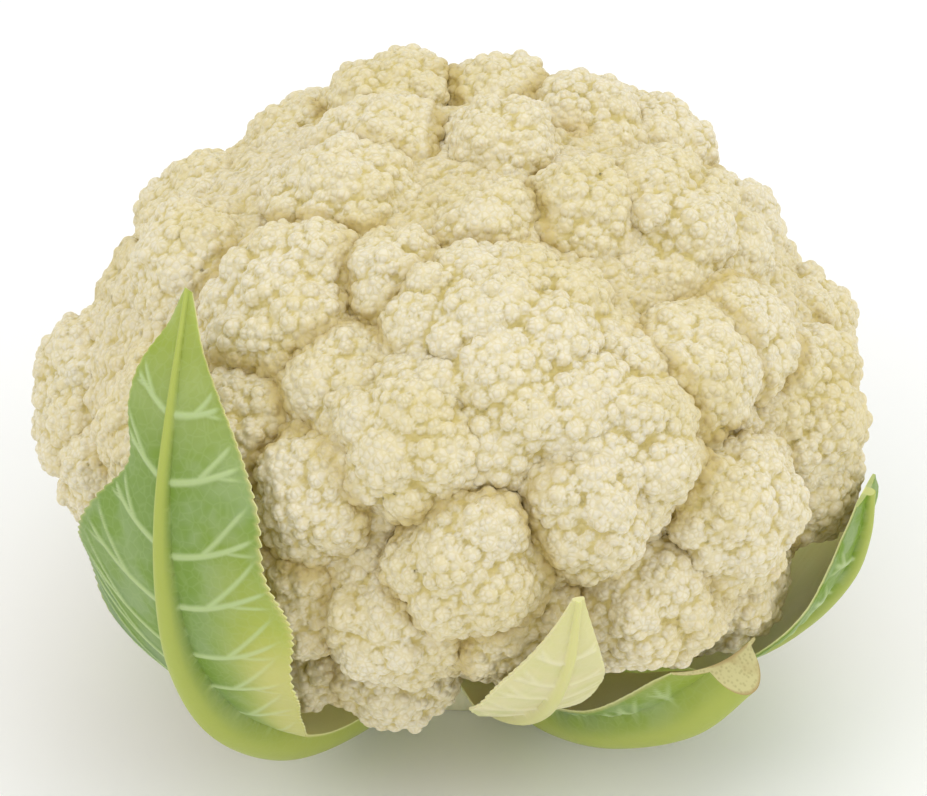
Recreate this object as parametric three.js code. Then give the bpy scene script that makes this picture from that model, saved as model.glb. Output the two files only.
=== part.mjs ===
// A cauliflower: a white head of florets on a short cut stem, held by its wrapper leaves.
// Millimetres, +Z up. The origin is the centre of the stem's cut face, on which it stands.
// -Y is the front.
import * as THREE from "three";
import { mergeVertices } from "three/addons/utils/BufferGeometryUtils.js";

// Driving dimensions of the head. It is egg-shaped: flatter above its widest level than below it.
const HEAD_WIDTH = 178;
const HEAD_DEPTH = 172;
const HEAD_CENTRE_Z = 75;
const CROWN_RISE = 60;
const SKIRT_DROP = 67;
const UNDERSIDE_Z = 19;
const CORE_SHARE = 0.82;
const CURD_DETAIL = 18;

// Driving dimensions of the stem. It is cut flat below and flares towards the head.
const STEM_FOOT_RADIUS = 22;
const STEM_WAIST_RADIUS = 24;
const STEM_WAIST_Z = 12;
const STEM_TOP_RADIUS = 29;
const STEM_EDGE_ROUNDING = 1.5;
const STEM_SIDES = 28;
const CONTACT_GAP = 0.3;

// The main florets. The direction is seen from the head's centre in degrees, where azimuth -90 is the
// front, the radius is the floret's own, and rise is how far it stands out of the head's even outline.
const FRONT_FLORETS = [
  { azimuth: -85, elevation: 44, radius: 22, rise: 5 },
  { azimuth: -77, elevation: 35, radius: 32, rise: 7 },
  { azimuth: -97, elevation: 26, radius: 22, rise: 5 },
  { azimuth: -62, elevation: 23, radius: 22, rise: 6 },
  { azimuth: -88, elevation: 7, radius: 19, rise: 5 },
  { azimuth: -70, elevation: 14, radius: 17, rise: 5 },
  { azimuth: -8, elevation: 45, radius: 25, rise: 3 },
  { azimuth: -22, elevation: 60, radius: 16, rise: 1 },
  { azimuth: 20, elevation: 24, radius: 17, rise: -4 },
  { azimuth: -42, elevation: 27, radius: 17, rise: 2 },
  { azimuth: 3, elevation: 6, radius: 18, rise: -1 },
  { azimuth: -25, elevation: 26, radius: 15, rise: 0 },
  { azimuth: -16, elevation: 4, radius: 22, rise: 1.5 },
  { azimuth: -17, elevation: -10, radius: 17, rise: 3 },
  { azimuth: -46, elevation: 2, radius: 21, rise: 4 },
  { azimuth: -58, elevation: -10, radius: 21, rise: 4 },
  { azimuth: -36, elevation: -24, radius: 19, rise: 3 },
  { azimuth: 52, elevation: 46, radius: 18, rise: 1 },
  { azimuth: 44, elevation: 32, radius: 20, rise: 1.5 },
  { azimuth: 78, elevation: 46, radius: 15, rise: 2 },
  { azimuth: 50, elevation: 76, radius: 16, rise: 1 },
  { azimuth: -70, elevation: 70, radius: 16, rise: -2 },
  { azimuth: 108, elevation: 46, radius: 19, rise: 3 },
  { azimuth: 140, elevation: 69, radius: 17, rise: 1 },
  { azimuth: -170, elevation: 66, radius: 20, rise: 1 },
  { azimuth: 133, elevation: 38, radius: 18, rise: -4 },
  { azimuth: 158, elevation: 29, radius: 20, rise: -3.5 },
  { azimuth: -170, elevation: 35, radius: 17, rise: 0 },
  { azimuth: -136, elevation: 44, radius: 22, rise: 2 },
  { azimuth: -111, elevation: 54, radius: 15, rise: 0 },
  { azimuth: -176, elevation: 1, radius: 17, rise: 0.5 },
  { azimuth: -170, elevation: -5, radius: 18, rise: 1.5 },
  { azimuth: -160, elevation: -9, radius: 16, rise: 0 },
  { azimuth: -146, elevation: 12, radius: 20, rise: -2 },
  { azimuth: -129, elevation: 21, radius: 16, rise: -1 },
  { azimuth: -112, elevation: 33, radius: 18, rise: -1 },
  { azimuth: -112, elevation: 15, radius: 16, rise: 1 },
  { azimuth: -115, elevation: -8, radius: 17, rise: 0 },
  { azimuth: -99, elevation: -9, radius: 20, rise: 2 },
  { azimuth: -102, elevation: -33, radius: 16, rise: 2 },
  { azimuth: -81, elevation: -10, radius: 17, rise: 0 },
  { azimuth: -119, elevation: -33, radius: 16, rise: 2 },
  { azimuth: -138, elevation: -15, radius: 20, rise: -1 },
];

// Rows of like florets round the back and under the skirt, evenly spaced between two azimuths.
const BACK_ROWS = [
  { elevation: 22, radius: 20, rise: 0, from: 62, to: 118, count: 3 },
  { elevation: -1, radius: 21, rise: -3, from: 30, to: 144, count: 6 },
  { elevation: -26, radius: 21, rise: 0, from: 4, to: 214, count: 9 },
];

// Each floret carries domes on a golden-angle spiral. A dome's radius grows slowly with its floret's.
const GOLDEN_ANGLE = Math.PI * (3 - Math.sqrt(5));
const DOME_RADIUS_SHARE = 0.26;
const DOME_RADIUS_BASE = 3.2;
const DOME_SPACING = 1.5;
const DOME_CAP = THREE.MathUtils.degToRad(115);
const HEXAGONAL_PACKING = Math.sqrt(3) / 2;

// Leaves. A spine runs from the stem to the tip as azimuth, reach from the head's axis and height.
// The blade's half-widths on its clockwise and anticlockwise side, seen from above the head, and the
// rib's half-width and depth are given at even steps along the spine. A blade curls across its spine at
// the wrap radius, or at its own.
const BLADE_THICKNESS = 1.4;
const WRAP_RADIUS = 80;
const NARROWEST_WING = 0.6;
const TOOTH_SHARE = 0.05;
const TOOTHED_FROM = 0.35;
const RIB_EDGE_STEP = 2;
const MARGIN_STEP = 4;

const LEAVES = [
  {
    name: "leaf_left",
    stations: 22,
    spine: [
      [-124, 26.6, 13.5], [-124, 43, 15], [-125, 61, 20.5], [-126.5, 77, 34],
      [-127, 88, 53], [-127, 92.5, 73], [-128.5, 90, 92], [-132.5, 80, 110], [-142, 66, 122],
    ],
    clockwise: [9, 9, 10, 20, 30, 26, 17, 10, 1],
    anticlockwise: [9, 9, 11, 20, 25, 25, 22, 12, 1],
    ribWidth: [8.5, 8, 6.5, 4.4, 3.2, 2.3, 1.5, 1, 0.6],
    ribDepth: [9.5, 9, 8, 6.5, 4.5, 3, 2, 1.2, 0.6],
  },
  {
    name: "leaf_front_small",
    stations: 16,
    spine: [
      [-82, 30.5, 15.5], [-79, 46, 21], [-77, 60, 30], [-76, 72, 40.5],
      [-76, 82, 52], [-75.5, 89, 66], [-75, 92, 83],
    ],
    clockwise: [4, 5, 8, 14, 15, 8, 1],
    anticlockwise: [4, 5, 7, 10, 10, 6, 1],
    ribWidth: [3.4, 3.2, 2.8, 2.2, 1.6, 1.1, 0.6],
    ribDepth: [2.4, 2.4, 2.6, 2.2, 1.6, 1.1, 0.5],
  },
  {
    name: "leaf_right_cut",
    stations: 12,
    spine: [[-57, 26, 12.4], [-56.5, 41, 15.4], [-55, 57, 22.5], [-51, 73, 32.5], [-47, 82.5, 45]],
    wrapRadius: 28,
    clockwise: [9, 10, 13, 17, 15],
    anticlockwise: [9, 10, 11, 10, 8],
    ribWidth: [8, 8.5, 8.5, 7.5, 6],
    ribDepth: [10.5, 10, 9.5, 8.5, 7.5],
  },
  {
    name: "leaf_right",
    stations: 16,
    spine: [
      [-17, 25.5, 12], [-18, 45, 13], [-20, 64, 21], [-22, 78, 34],
      [-22.5, 87, 47], [-22.5, 90.5, 58], [-22.5, 91.5, 69],
    ],
    clockwise: [8.5, 8.5, 12, 23, 26, 18, 6],
    anticlockwise: [8.5, 8.5, 12, 22, 26, 19, 6],
    ribWidth: [8, 7.5, 6, 4.4, 3.2, 2.2, 1.4],
    ribDepth: [9.5, 8.5, 7, 5.5, 4, 2.6, 1.4],
  },
  {
    name: "leaf_back_right",
    stations: 16,
    spine: [
      [32, 25.5, 12], [33, 46, 12], [35, 67, 19], [37, 82, 32],
      [39, 91, 47], [42, 94, 61], [46, 92, 75],
    ],
    clockwise: [9, 9, 13, 24, 27, 19, 1],
    anticlockwise: [9, 9, 13, 24, 27, 19, 1],
    ribWidth: [8, 7.5, 6, 4.4, 3.2, 2, 0.8],
    ribDepth: [9.5, 8.5, 7, 5.5, 4, 2.4, 0.8],
  },
  {
    name: "leaf_back_cut",
    stations: 10,
    spine: [[80, 25.5, 13], [81, 45, 13], [83, 64, 18], [85, 78, 31], [86, 85, 44]],
    clockwise: [9, 10, 14, 13, 9],
    anticlockwise: [9, 10, 14, 13, 9],
    ribWidth: [8, 8, 8, 7, 6],
    ribDepth: [10, 9.5, 9, 8, 7],
  },
  {
    name: "leaf_back_left",
    stations: 16,
    spine: [
      [130, 25.5, 12], [130, 46, 12], [129, 67, 19], [128, 82, 33],
      [127, 90, 49], [125, 93, 64], [122, 92, 79],
    ],
    clockwise: [9, 9, 13, 24, 26, 18, 1],
    anticlockwise: [9, 9, 13, 22, 25, 17, 1],
    ribWidth: [8, 7.5, 6, 4.4, 3.2, 2, 0.8],
    ribDepth: [9.5, 8.5, 7, 5.5, 4, 2.4, 0.8],
  },
  {
    name: "leaf_side_cut",
    stations: 8,
    spine: [[179, 25.5, 13], [180, 41, 13], [181, 56, 17], [181, 67, 27]],
    clockwise: [9, 10, 11, 8],
    anticlockwise: [9, 10, 11, 8],
    ribWidth: [8, 8, 7, 6],
    ribDepth: [10, 9.5, 8.5, 7],
  },
];

const material = (color, roughness) =>
  new THREE.MeshStandardMaterial({ color, roughness, metalness: 0 });
const CURD_CREAM = material("#ece4bf", 0.6);
const STEM_PALE_GREEN = material("#cdd69a", 0.55);
const LEAF_GREEN = material("#8fae4a", 0.5);
const LEAF_PALE = material("#dfe3a8", 0.5);
const LEAF_MATERIALS = { leaf_front_small: LEAF_PALE };

const HEAD_CENTRE = new THREE.Vector3(0, 0, HEAD_CENTRE_Z);

// The unit vector at an azimuth and elevation in degrees.
function heading(azimuth, elevation) {
  const around = THREE.MathUtils.degToRad(azimuth);
  const up = THREE.MathUtils.degToRad(elevation);
  return new THREE.Vector3(Math.cos(around), Math.sin(around), Math.tan(up)).normalize();
}

// How far the head's even outline is from its centre in one direction.
function outlineRadius(direction) {
  const vertical = direction.z > 0 ? CROWN_RISE : SKIRT_DROP;
  const halfAxes = new THREE.Vector3(HEAD_WIDTH / 2, HEAD_DEPTH / 2, vertical);
  return 1 / direction.clone().divide(halfAxes).length();
}

// A floret as a ball that touches the head's outline from inside, or stands out of it by its rise.
function floretBall({ azimuth, elevation, radius, rise }) {
  const direction = heading(azimuth, elevation);
  const centre = direction.clone().multiplyScalar(outlineRadius(direction));
  const vertical = direction.z > 0 ? CROWN_RISE : SKIRT_DROP;
  const halfAxes = new THREE.Vector3(HEAD_WIDTH / 2, HEAD_DEPTH / 2, vertical);
  const outward = centre.clone().divide(halfAxes).divide(halfAxes).normalize();
  return { centre: centre.addScaledVector(outward, rise - radius), radius, outward };
}

// The florets of the rows, as balls.
function backFlorets() {
  return BACK_ROWS.flatMap(({ elevation, radius, rise, from, to, count }) =>
    Array.from({ length: count }, (_, i) => {
      const azimuth = THREE.MathUtils.lerp(from, to, i / (count - 1));
      return floretBall({ azimuth, elevation, radius, rise });
    }),
  );
}

// The domes on one floret, spread over its outer side on a golden-angle spiral, tops on its surface.
function domesOn(floret, turn) {
  const radius = DOME_RADIUS_SHARE * floret.radius + DOME_RADIUS_BASE;
  const capArea = 2 * Math.PI * floret.radius ** 2 * (1 - Math.cos(DOME_CAP));
  const count = Math.round(capArea / (HEXAGONAL_PACKING * (DOME_SPACING * radius) ** 2));
  const upright = new THREE.Quaternion().setFromUnitVectors(new THREE.Vector3(0, 0, 1), floret.outward);
  return Array.from({ length: count }, (_, i) => {
    const height = 1 - ((i + 0.5) / count) * (1 - Math.cos(DOME_CAP));
    const ring = Math.sqrt(1 - height * height);
    const around = i * GOLDEN_ANGLE + turn;
    const offset = new THREE.Vector3(ring * Math.cos(around), ring * Math.sin(around), height);
    offset.applyQuaternion(upright).multiplyScalar(floret.radius - radius);
    return { centre: offset.add(floret.centre), radius };
  });
}

// Where a ray from the head's centre leaves a ball, or 0 where it misses the ball.
function exitDistance(direction, ball) {
  const along = direction.dot(ball.centre);
  const reach = ball.radius ** 2 - ball.centre.lengthSq() + along * along;
  return reach > 0 ? along + Math.sqrt(reach) : 0;
}

// The curd is the outer skin of all domes over a smaller core, flat underneath where the stem joins it.
function curdGeometry() {
  const florets = [...FRONT_FLORETS.map(floretBall), ...backFlorets()];
  const domes = florets.flatMap((floret, i) => domesOn(floret, i * GOLDEN_ANGLE));
  const sphere = new THREE.IcosahedronGeometry(1, CURD_DETAIL);
  sphere.deleteAttribute("normal");
  sphere.deleteAttribute("uv");
  const skin = mergeVertices(sphere);
  const points = skin.getAttribute("position");
  const halfAxes = new THREE.Vector3(HEAD_WIDTH / 2, HEAD_DEPTH / 2, (CROWN_RISE + SKIRT_DROP) / 2);
  const direction = new THREE.Vector3();
  for (let i = 0; i < points.count; i++) {
    direction.fromBufferAttribute(points, i).multiply(halfAxes).normalize();
    let radius = CORE_SHARE * outlineRadius(direction);
    for (const dome of domes) radius = Math.max(radius, exitDistance(direction, dome));
    if (direction.z < 0) radius = Math.min(radius, (HEAD_CENTRE_Z - UNDERSIDE_Z) / -direction.z);
    points.setXYZ(i, ...direction.multiplyScalar(radius).add(HEAD_CENTRE));
  }
  skin.computeVertexNormals();
  return skin;
}

// The stem: its profile turned about the upright axis.
function stemGeometry() {
  const profile = [
    [0, 0],
    [STEM_FOOT_RADIUS, 0],
    [STEM_FOOT_RADIUS + STEM_EDGE_ROUNDING, STEM_EDGE_ROUNDING],
    [STEM_WAIST_RADIUS, STEM_WAIST_Z],
    [STEM_TOP_RADIUS, UNDERSIDE_Z - CONTACT_GAP],
    [0, UNDERSIDE_Z - CONTACT_GAP],
  ];
  const lathe = new THREE.LatheGeometry(profile.map(([r, z]) => new THREE.Vector2(r, z)), STEM_SIDES);
  return lathe.rotateX(Math.PI / 2);
}

// A value between evenly spaced ones, on a uniform Catmull-Rom curve.
function along(values, u) {
  const last = values.length - 1;
  const segment = Math.min(Math.floor(u * last), last - 1);
  const t = u * last - segment;
  const [b, c] = [values[segment], values[segment + 1]];
  const a = values[segment - 1] ?? 2 * b - c;
  const d = values[segment + 2] ?? 2 * c - b;
  return b + 0.5 * t * (c - a + t * (2 * a - 5 * b + 4 * c - d + t * (3 * (b - c) + d - a)));
}

// How far a column of the blade lies beside the spine: first steps cross the rib, later ones the blade.
function sideways(step, ribWidth, halfWidth) {
  const size = Math.abs(step);
  const onBlade = Math.max(size - RIB_EDGE_STEP, 0) / (MARGIN_STEP - RIB_EDGE_STEP);
  const distance = (Math.min(size, RIB_EDGE_STEP) / RIB_EDGE_STEP) * ribWidth;
  return Math.sign(step) * (distance + onBlade * Math.max(halfWidth - ribWidth, NARROWEST_WING));
}

// One cross-section of a leaf: a row of points on its outer face and a row on its inner face.
function leafSection(leaf, spine, station) {
  const u = station / leaf.stations;
  const centre = spine.getPointAt(u);
  const tangent = spine.getTangentAt(u);
  const left = new THREE.Vector3(-centre.y, centre.x, 0).normalize();
  const outward = new THREE.Vector3().crossVectors(left, tangent).normalize();
  const tooth = u > TOOTHED_FROM && u < 1 ? 1 + TOOTH_SHARE * (-1) ** station : 1;
  const ribWidth = along(leaf.ribWidth, u);
  const ribDepth = along(leaf.ribDepth, u);
  const wrapRadius = leaf.wrapRadius ?? WRAP_RADIUS;
  const section = { outer: [], inner: [] };
  for (let step = -MARGIN_STEP; step <= MARGIN_STEP; step++) {
    const halfWidth = along(step < 0 ? leaf.clockwise : leaf.anticlockwise, u);
    const onMargin = Math.abs(step) === MARGIN_STEP;
    const distance = sideways(step, ribWidth, onMargin ? halfWidth * tooth : halfWidth);
    const wrapped = distance / wrapRadius;
    const middle = centre.clone()
      .addScaledVector(left, wrapRadius * Math.sin(wrapped))
      .addScaledVector(outward, -wrapRadius * (1 - Math.cos(wrapped)));
    const acrossRib = Math.min(Math.abs(distance) / ribWidth, 1);
    const bulge = ribDepth * Math.sqrt(1 - acrossRib ** 2);
    section.outer.push(middle.clone().addScaledVector(outward, BLADE_THICKNESS / 2 + bulge));
    section.inner.push(middle.clone().addScaledVector(outward, -BLADE_THICKNESS / 2));
  }
  return section;
}

// A leaf as one closed solid: two faces of like triangles, joined by walls along the margins and ends.
function leafGeometry(leaf) {
  const spinePoints = leaf.spine.map(([azimuth, reach, height]) =>
    heading(azimuth, 0).multiplyScalar(reach).setZ(height));
  const spine = new THREE.CatmullRomCurve3(spinePoints, false, "catmullrom", 0.5);
  const columns = 2 * MARGIN_STEP + 1;
  const points = [];
  for (let station = 0; station <= leaf.stations; station++) {
    const { outer, inner } = leafSection(leaf, spine, station);
    points.push(...outer, ...inner);
  }
  const outer = (station, column) => station * 2 * columns + column;
  const inner = (station, column) => outer(station, column) + columns;
  const lastColumn = columns - 1;
  const triangles = [];
  const quad = (a, b, c, d) => triangles.push(a, b, c, a, c, d);
  for (let s = 0; s < leaf.stations; s++) {
    for (let c = 0; c < lastColumn; c++) {
      quad(outer(s, c), outer(s, c + 1), outer(s + 1, c + 1), outer(s + 1, c));
      triangles.push(inner(s, c), inner(s + 1, c + 1), inner(s, c + 1));
      triangles.push(inner(s, c), inner(s + 1, c), inner(s + 1, c + 1));
    }
    quad(inner(s, 0), outer(s, 0), outer(s + 1, 0), inner(s + 1, 0));
    quad(outer(s, lastColumn), inner(s, lastColumn), inner(s + 1, lastColumn), outer(s + 1, lastColumn));
  }
  for (let c = 0; c < lastColumn; c++) {
    quad(inner(0, c), inner(0, c + 1), outer(0, c + 1), outer(0, c));
    const end = leaf.stations;
    quad(outer(end, c), outer(end, c + 1), inner(end, c + 1), inner(end, c));
  }
  const geometry = new THREE.BufferGeometry().setFromPoints(points).setIndex(triangles);
  geometry.computeVertexNormals();
  return geometry;
}

// One named piece of the cauliflower.
function piece(name, geometry, finish) {
  const mesh = new THREE.Mesh(geometry, finish);
  mesh.name = name;
  return mesh;
}

const cauliflower = new THREE.Group();
cauliflower.add(piece("stem", stemGeometry(), STEM_PALE_GREEN));
cauliflower.add(piece("curd", curdGeometry(), CURD_CREAM));
for (const leaf of LEAVES) {
  cauliflower.add(piece(leaf.name, leafGeometry(leaf), LEAF_MATERIALS[leaf.name] ?? LEAF_GREEN));
}

export default cauliflower;
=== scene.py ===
"""A cauliflower: florets grown bud by bud over a core, a cut stem, and wrapper leaves with raised veins.

Sizes are in millimetres in the functions and become metres where a mesh is made. The front is -Y.
"""
import math

import bpy
import numpy as np
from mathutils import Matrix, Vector


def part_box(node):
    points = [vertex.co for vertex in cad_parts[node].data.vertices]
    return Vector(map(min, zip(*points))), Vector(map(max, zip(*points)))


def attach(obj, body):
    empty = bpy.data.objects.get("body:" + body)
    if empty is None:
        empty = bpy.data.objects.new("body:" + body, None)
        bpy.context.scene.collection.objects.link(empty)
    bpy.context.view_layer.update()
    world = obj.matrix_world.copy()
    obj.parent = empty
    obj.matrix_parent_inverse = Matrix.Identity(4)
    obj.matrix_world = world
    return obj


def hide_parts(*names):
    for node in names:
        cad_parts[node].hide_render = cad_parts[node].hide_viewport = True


bl_info = {
    "name": "Cauliflower",
    "version": (1, 0, 0),
    "blender": (4, 5, 0),
    "location": "View3D > Sidebar > Cauliflower",
    "description": "Grows a cauliflower head with its stem and wrapper leaves",
    "category": "Add Mesh",
}

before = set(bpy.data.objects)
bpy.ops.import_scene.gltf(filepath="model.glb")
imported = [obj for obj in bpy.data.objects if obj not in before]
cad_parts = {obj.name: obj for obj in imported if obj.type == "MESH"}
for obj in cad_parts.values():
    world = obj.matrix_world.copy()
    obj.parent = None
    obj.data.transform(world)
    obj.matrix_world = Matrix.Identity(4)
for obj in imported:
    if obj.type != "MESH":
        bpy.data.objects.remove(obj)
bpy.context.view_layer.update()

MM = 0.001
BODY = "root"
GOLDEN_ANGLE = math.pi * (3 - math.sqrt(5))

# The head's even outline is an ellipsoid that is flatter above its widest level than below it.
HEAD_HALF_WIDTH = 89
HEAD_HALF_DEPTH = 86
HEAD_CENTRE = np.array([0, 0, 75])
CROWN_RISE = 60
SKIRT_DROP = 67
UNDERSIDE_Z = 19
# The inside of the head: its share of the outline, its soft ribs' number and height as a share, and how far
# up from the underside it is bare stalk.
CORE_SHARE, CORE_RIBS, CORE_RIB_HEIGHT, BARE_STALK = 0.82, 9, 0.02, 8

# The florets that the front shows: azimuth, elevation, radius, and the rise out of the head's outline.
FRONT_FLORETS = [
    (-85, 44, 22, 5), (-77, 35, 32, 7), (-97, 26, 22, 5), (-62, 23, 22, 6), (-88, 7, 19, 5),
    (-70, 14, 17, 5), (-8, 45, 25, 3), (-22, 60, 16, 1), (20, 24, 17, -4), (-42, 27, 17, 2),
    (3, 6, 18, -1), (-25, 26, 15, 0), (-16, 4, 22, 1.5), (-17, -10, 17, 3), (-46, 2, 21, 4),
    (-58, -10, 21, 4), (-36, -24, 19, 3), (52, 46, 18, 1), (44, 32, 20, 1.5), (78, 46, 15, 2),
    (50, 76, 16, 1), (-70, 70, 16, -2), (108, 46, 19, 3), (140, 69, 17, 1), (-170, 66, 20, 1),
    (133, 38, 18, -4), (158, 29, 20, -3.5), (-170, 35, 17, 0), (-136, 44, 22, 2), (-111, 54, 15, 0),
    (-176, 1, 17, 0.5), (-170, -5, 18, 1.5), (-160, -9, 16, 0), (-146, 12, 20, -2), (-129, 21, 16, -1),
    (-112, 33, 18, -1), (-112, 15, 16, 1), (-115, -8, 17, 0), (-99, -9, 20, 2), (-102, -33, 16, 2),
    (-81, -10, 17, 0), (-119, -33, 16, 2), (-138, -15, 20, -1),
]
# Rows of florets round the back and under the skirt: elevation, radius, rise, first and last azimuth, count.
BACK_ROWS = [(22, 20, 0, 62, 118, 3), (-1, 21, -3, 30, 144, 6), (-26, 21, 0, 4, 214, 9)]
# How much coarser the skin is over the rows at the back and over the lobes between florets.
BACK_COARSENESS, FILLER_COARSENESS = 1.4, 2.0

# How each level of the head grows on the one before: lobes on a floret and knobs of buds on a lobe. A level's
# mean radius is a share of its parent's and a base. Its balls run from large to small by the spread.
LOBES = dict(share=0.16, base=2.8, spread=1.6, spacing=1.42, cap=math.radians(124), sink=1.0, jitter=0.2)
KNOBS = dict(share=0.05, base=1.1, spread=1.4, spacing=1.45, cap=math.radians(112), sink=0.5, jitter=0.25)
KNOB_RISE = 0.2
# Balls tried for each one that would fit side by side.
CROWDING = 7
# The first seed of the lobes' random draws, and how much later the seeds of the knobs' draws begin.
SEED, KNOB_SEEDS = 7, 100
# How deep the tip of a lobe or a knob may lie in its neighbours before it is left out.
LOBE_BURIED, KNOB_BURIED = 5, 1.6
# How far a floret's core stays below its surface, as a share of a lobe's radius. How far below its centre its
# hidden side is cut off and its knobs end, as shares of its radius.
CORE_SINK, ROOT_TRIM, KNOB_LIMIT = 0.6, 0.12, 0.2
# Lobes that close the gaps between florets: how many are tried, how far down (2 is all the way), their
# radius and depth. One is left out if it lies deeper than this in a lobe, or in a floret without its bark.
FILLER_COUNT, FILLER_SPAN, FILLER_RADIUS, FILLER_DEPTH = 900, 1.6, 6.5, 9
# The last number is the share of painted crease shade that covers the lobes in the gaps.
FILLER_BURIED, FLORET_BARK, FILLER_CREASE_SHADE = 0.5, 5, 0.3
# Subdivisions of the balls that stand for cores, lobes and knobs.
CORE_DETAIL, LOBE_DETAIL, KNOB_DETAIL, INSIDE_DETAIL = 4, 3, 2, 6
# Points whose distances are measured at a time.
BATCH = 4000
# Hollows that get painted shade: the width of their surroundings, and the depths where the painted shade
# begins and is full.
HOLLOWS = {"lobe_hollow": (4, 0.1, 1.8), "bud_hollow": (1.2, 0.0, 0.3)}
# How wide the painted shade of a crease between two florets reaches.
CREASE_WIDTH = 4.5

# Names of the eighths round the head, and the elevations where its bands begin.
SIDES = ("right", "back_right", "back", "back_left", "left", "front_left", "front", "front_right")
CROWN_FROM, SHOULDER_FROM, UPPER_FROM = 55, 40, 18

# Leaves, as in the solids: spine points of azimuth, reach and height, then half-widths on the clockwise and
# anticlockwise side and the rib's half-width and depth, all at even steps along the spine. Then the mesh's
# steps along and across a half, the veins on each side, the ruffle's height and how much fresh green shows.
LEAVES = {
    "leaf_left": dict(
        spine=[(-124, 26.6, 13.5), (-124, 43, 15), (-125, 61, 20.5), (-126.5, 77, 34), (-127, 88, 53),
               (-127, 92.5, 73), (-128.5, 90, 92), (-132.5, 80, 110), (-142, 66, 122)],
        clockwise=[9, 9, 10, 20, 30, 26, 17, 10, 1],
        anticlockwise=[9, 9, 11, 20, 25, 25, 22, 12, 1],
        rib_width=[8.5, 8, 6.5, 4.4, 3.2, 2.3, 1.5, 1, 0.6],
        rib_depth=[9.5, 9, 8, 6.5, 4.5, 3, 2, 1.2, 0.6],
        grid=(400, 50), veins=9, ruffle=1.1, fresh=0.6, notch=0.3),
    "leaf_front_small": dict(
        spine=[(-82, 30.5, 15.5), (-79, 46, 21), (-77, 60, 30), (-76, 72, 40.5), (-76, 82, 52),
               (-75.5, 89, 66), (-75, 92, 83)],
        clockwise=[4, 5, 8, 14, 15, 8, 1],
        anticlockwise=[4, 5, 7, 10, 10, 6, 1],
        rib_width=[3.4, 3.2, 2.8, 2.2, 1.6, 1.1, 0.6],
        rib_depth=[2.4, 2.4, 2.6, 2.2, 1.6, 1.1, 0.5],
        grid=(200, 24), veins=8, ruffle=0.6, fresh=0.3),
    "leaf_right_cut": dict(
        spine=[(-57, 26, 12.4), (-56.5, 41, 15.4), (-55, 57, 22.5), (-51, 73, 32.5), (-47, 82.5, 45)],
        clockwise=[9, 10, 13, 17, 15],
        anticlockwise=[9, 10, 11, 10, 8],
        rib_width=[8, 8.5, 8.5, 7.5, 6],
        rib_depth=[10.5, 10, 9.5, 8.5, 7.5],
        grid=(100, 30), veins=6, ruffle=0.4, fresh=0.8, teeth=0.25, wrap_radius=28),
    "leaf_right": dict(
        spine=[(-17, 25.5, 12), (-18, 45, 13), (-20, 64, 21), (-22, 78, 34), (-22.5, 87, 47),
               (-22.5, 90.5, 58), (-22.5, 91.5, 69)],
        clockwise=[8.5, 8.5, 12, 23, 26, 18, 6],
        anticlockwise=[8.5, 8.5, 12, 22, 26, 19, 6],
        rib_width=[8, 7.5, 6, 4.4, 3.2, 2.2, 1.4],
        rib_depth=[9.5, 8.5, 7, 5.5, 4, 2.6, 1.4],
        grid=(220, 28), veins=8, ruffle=0.5, fresh=2.0, teeth=0.4),
    "leaf_back_right": dict(
        spine=[(32, 25.5, 12), (33, 46, 12), (35, 67, 19), (37, 82, 32), (39, 91, 47), (42, 94, 61),
               (46, 92, 75)],
        clockwise=[9, 9, 13, 24, 27, 19, 1],
        anticlockwise=[9, 9, 13, 24, 27, 19, 1],
        rib_width=[8, 7.5, 6, 4.4, 3.2, 2, 0.8],
        rib_depth=[9.5, 8.5, 7, 5.5, 4, 2.4, 0.8],
        grid=(220, 28), veins=9, ruffle=1.5, fresh=0.6),
    "leaf_back_cut": dict(
        spine=[(80, 25.5, 13), (81, 45, 13), (83, 64, 18), (85, 78, 31), (86, 85, 44)],
        clockwise=[9, 10, 14, 13, 9],
        anticlockwise=[9, 10, 14, 13, 9],
        rib_width=[8, 8, 8, 7, 6],
        rib_depth=[10, 9.5, 9, 8, 7],
        grid=(100, 26), veins=6, ruffle=0.8, fresh=0.5),
    "leaf_back_left": dict(
        spine=[(130, 25.5, 12), (130, 46, 12), (129, 67, 19), (128, 82, 33), (127, 90, 49), (125, 93, 64),
               (122, 92, 79)],
        clockwise=[9, 9, 13, 24, 26, 18, 1],
        anticlockwise=[9, 9, 13, 22, 25, 17, 1],
        rib_width=[8, 7.5, 6, 4.4, 3.2, 2, 0.8],
        rib_depth=[9.5, 8.5, 7, 5.5, 4, 2.4, 0.8],
        grid=(220, 28), veins=9, ruffle=1.5, fresh=0.6),
    "leaf_side_cut": dict(
        spine=[(179, 25.5, 13), (180, 41, 13), (181, 56, 17), (181, 67, 27)],
        clockwise=[9, 10, 11, 8],
        anticlockwise=[9, 10, 11, 8],
        rib_width=[8, 8, 7, 6],
        rib_depth=[10, 9.5, 8.5, 7],
        grid=(80, 24), veins=4, ruffle=0.6, fresh=0.4),
}
WHOLE_LEAVES = ("leaf_left", "leaf_right", "leaf_back_right", "leaf_back_left")
CUT_LEAVES = ("leaf_right_cut", "leaf_back_cut", "leaf_side_cut")
SMALL_LEAVES = ("leaf_front_small",)
WRAP_RADIUS = 80
MARGIN_THICKNESS = 0.6
COLUMN_CROWDING = 1.15
# The blade is at least this much wider than its rib on either side.
RIB_BORDER = 0.6
# A notch in the clockwise margin: its place and its width as shares of the spine.
NOTCH_PLACE, NOTCH_WIDTH = 0.76, 0.05
# The margin's waves: the length of one radian, and how far they lag from one margin to the other.
RUFFLE_STEP, RUFFLE_LAG = 5.5, 2
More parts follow.
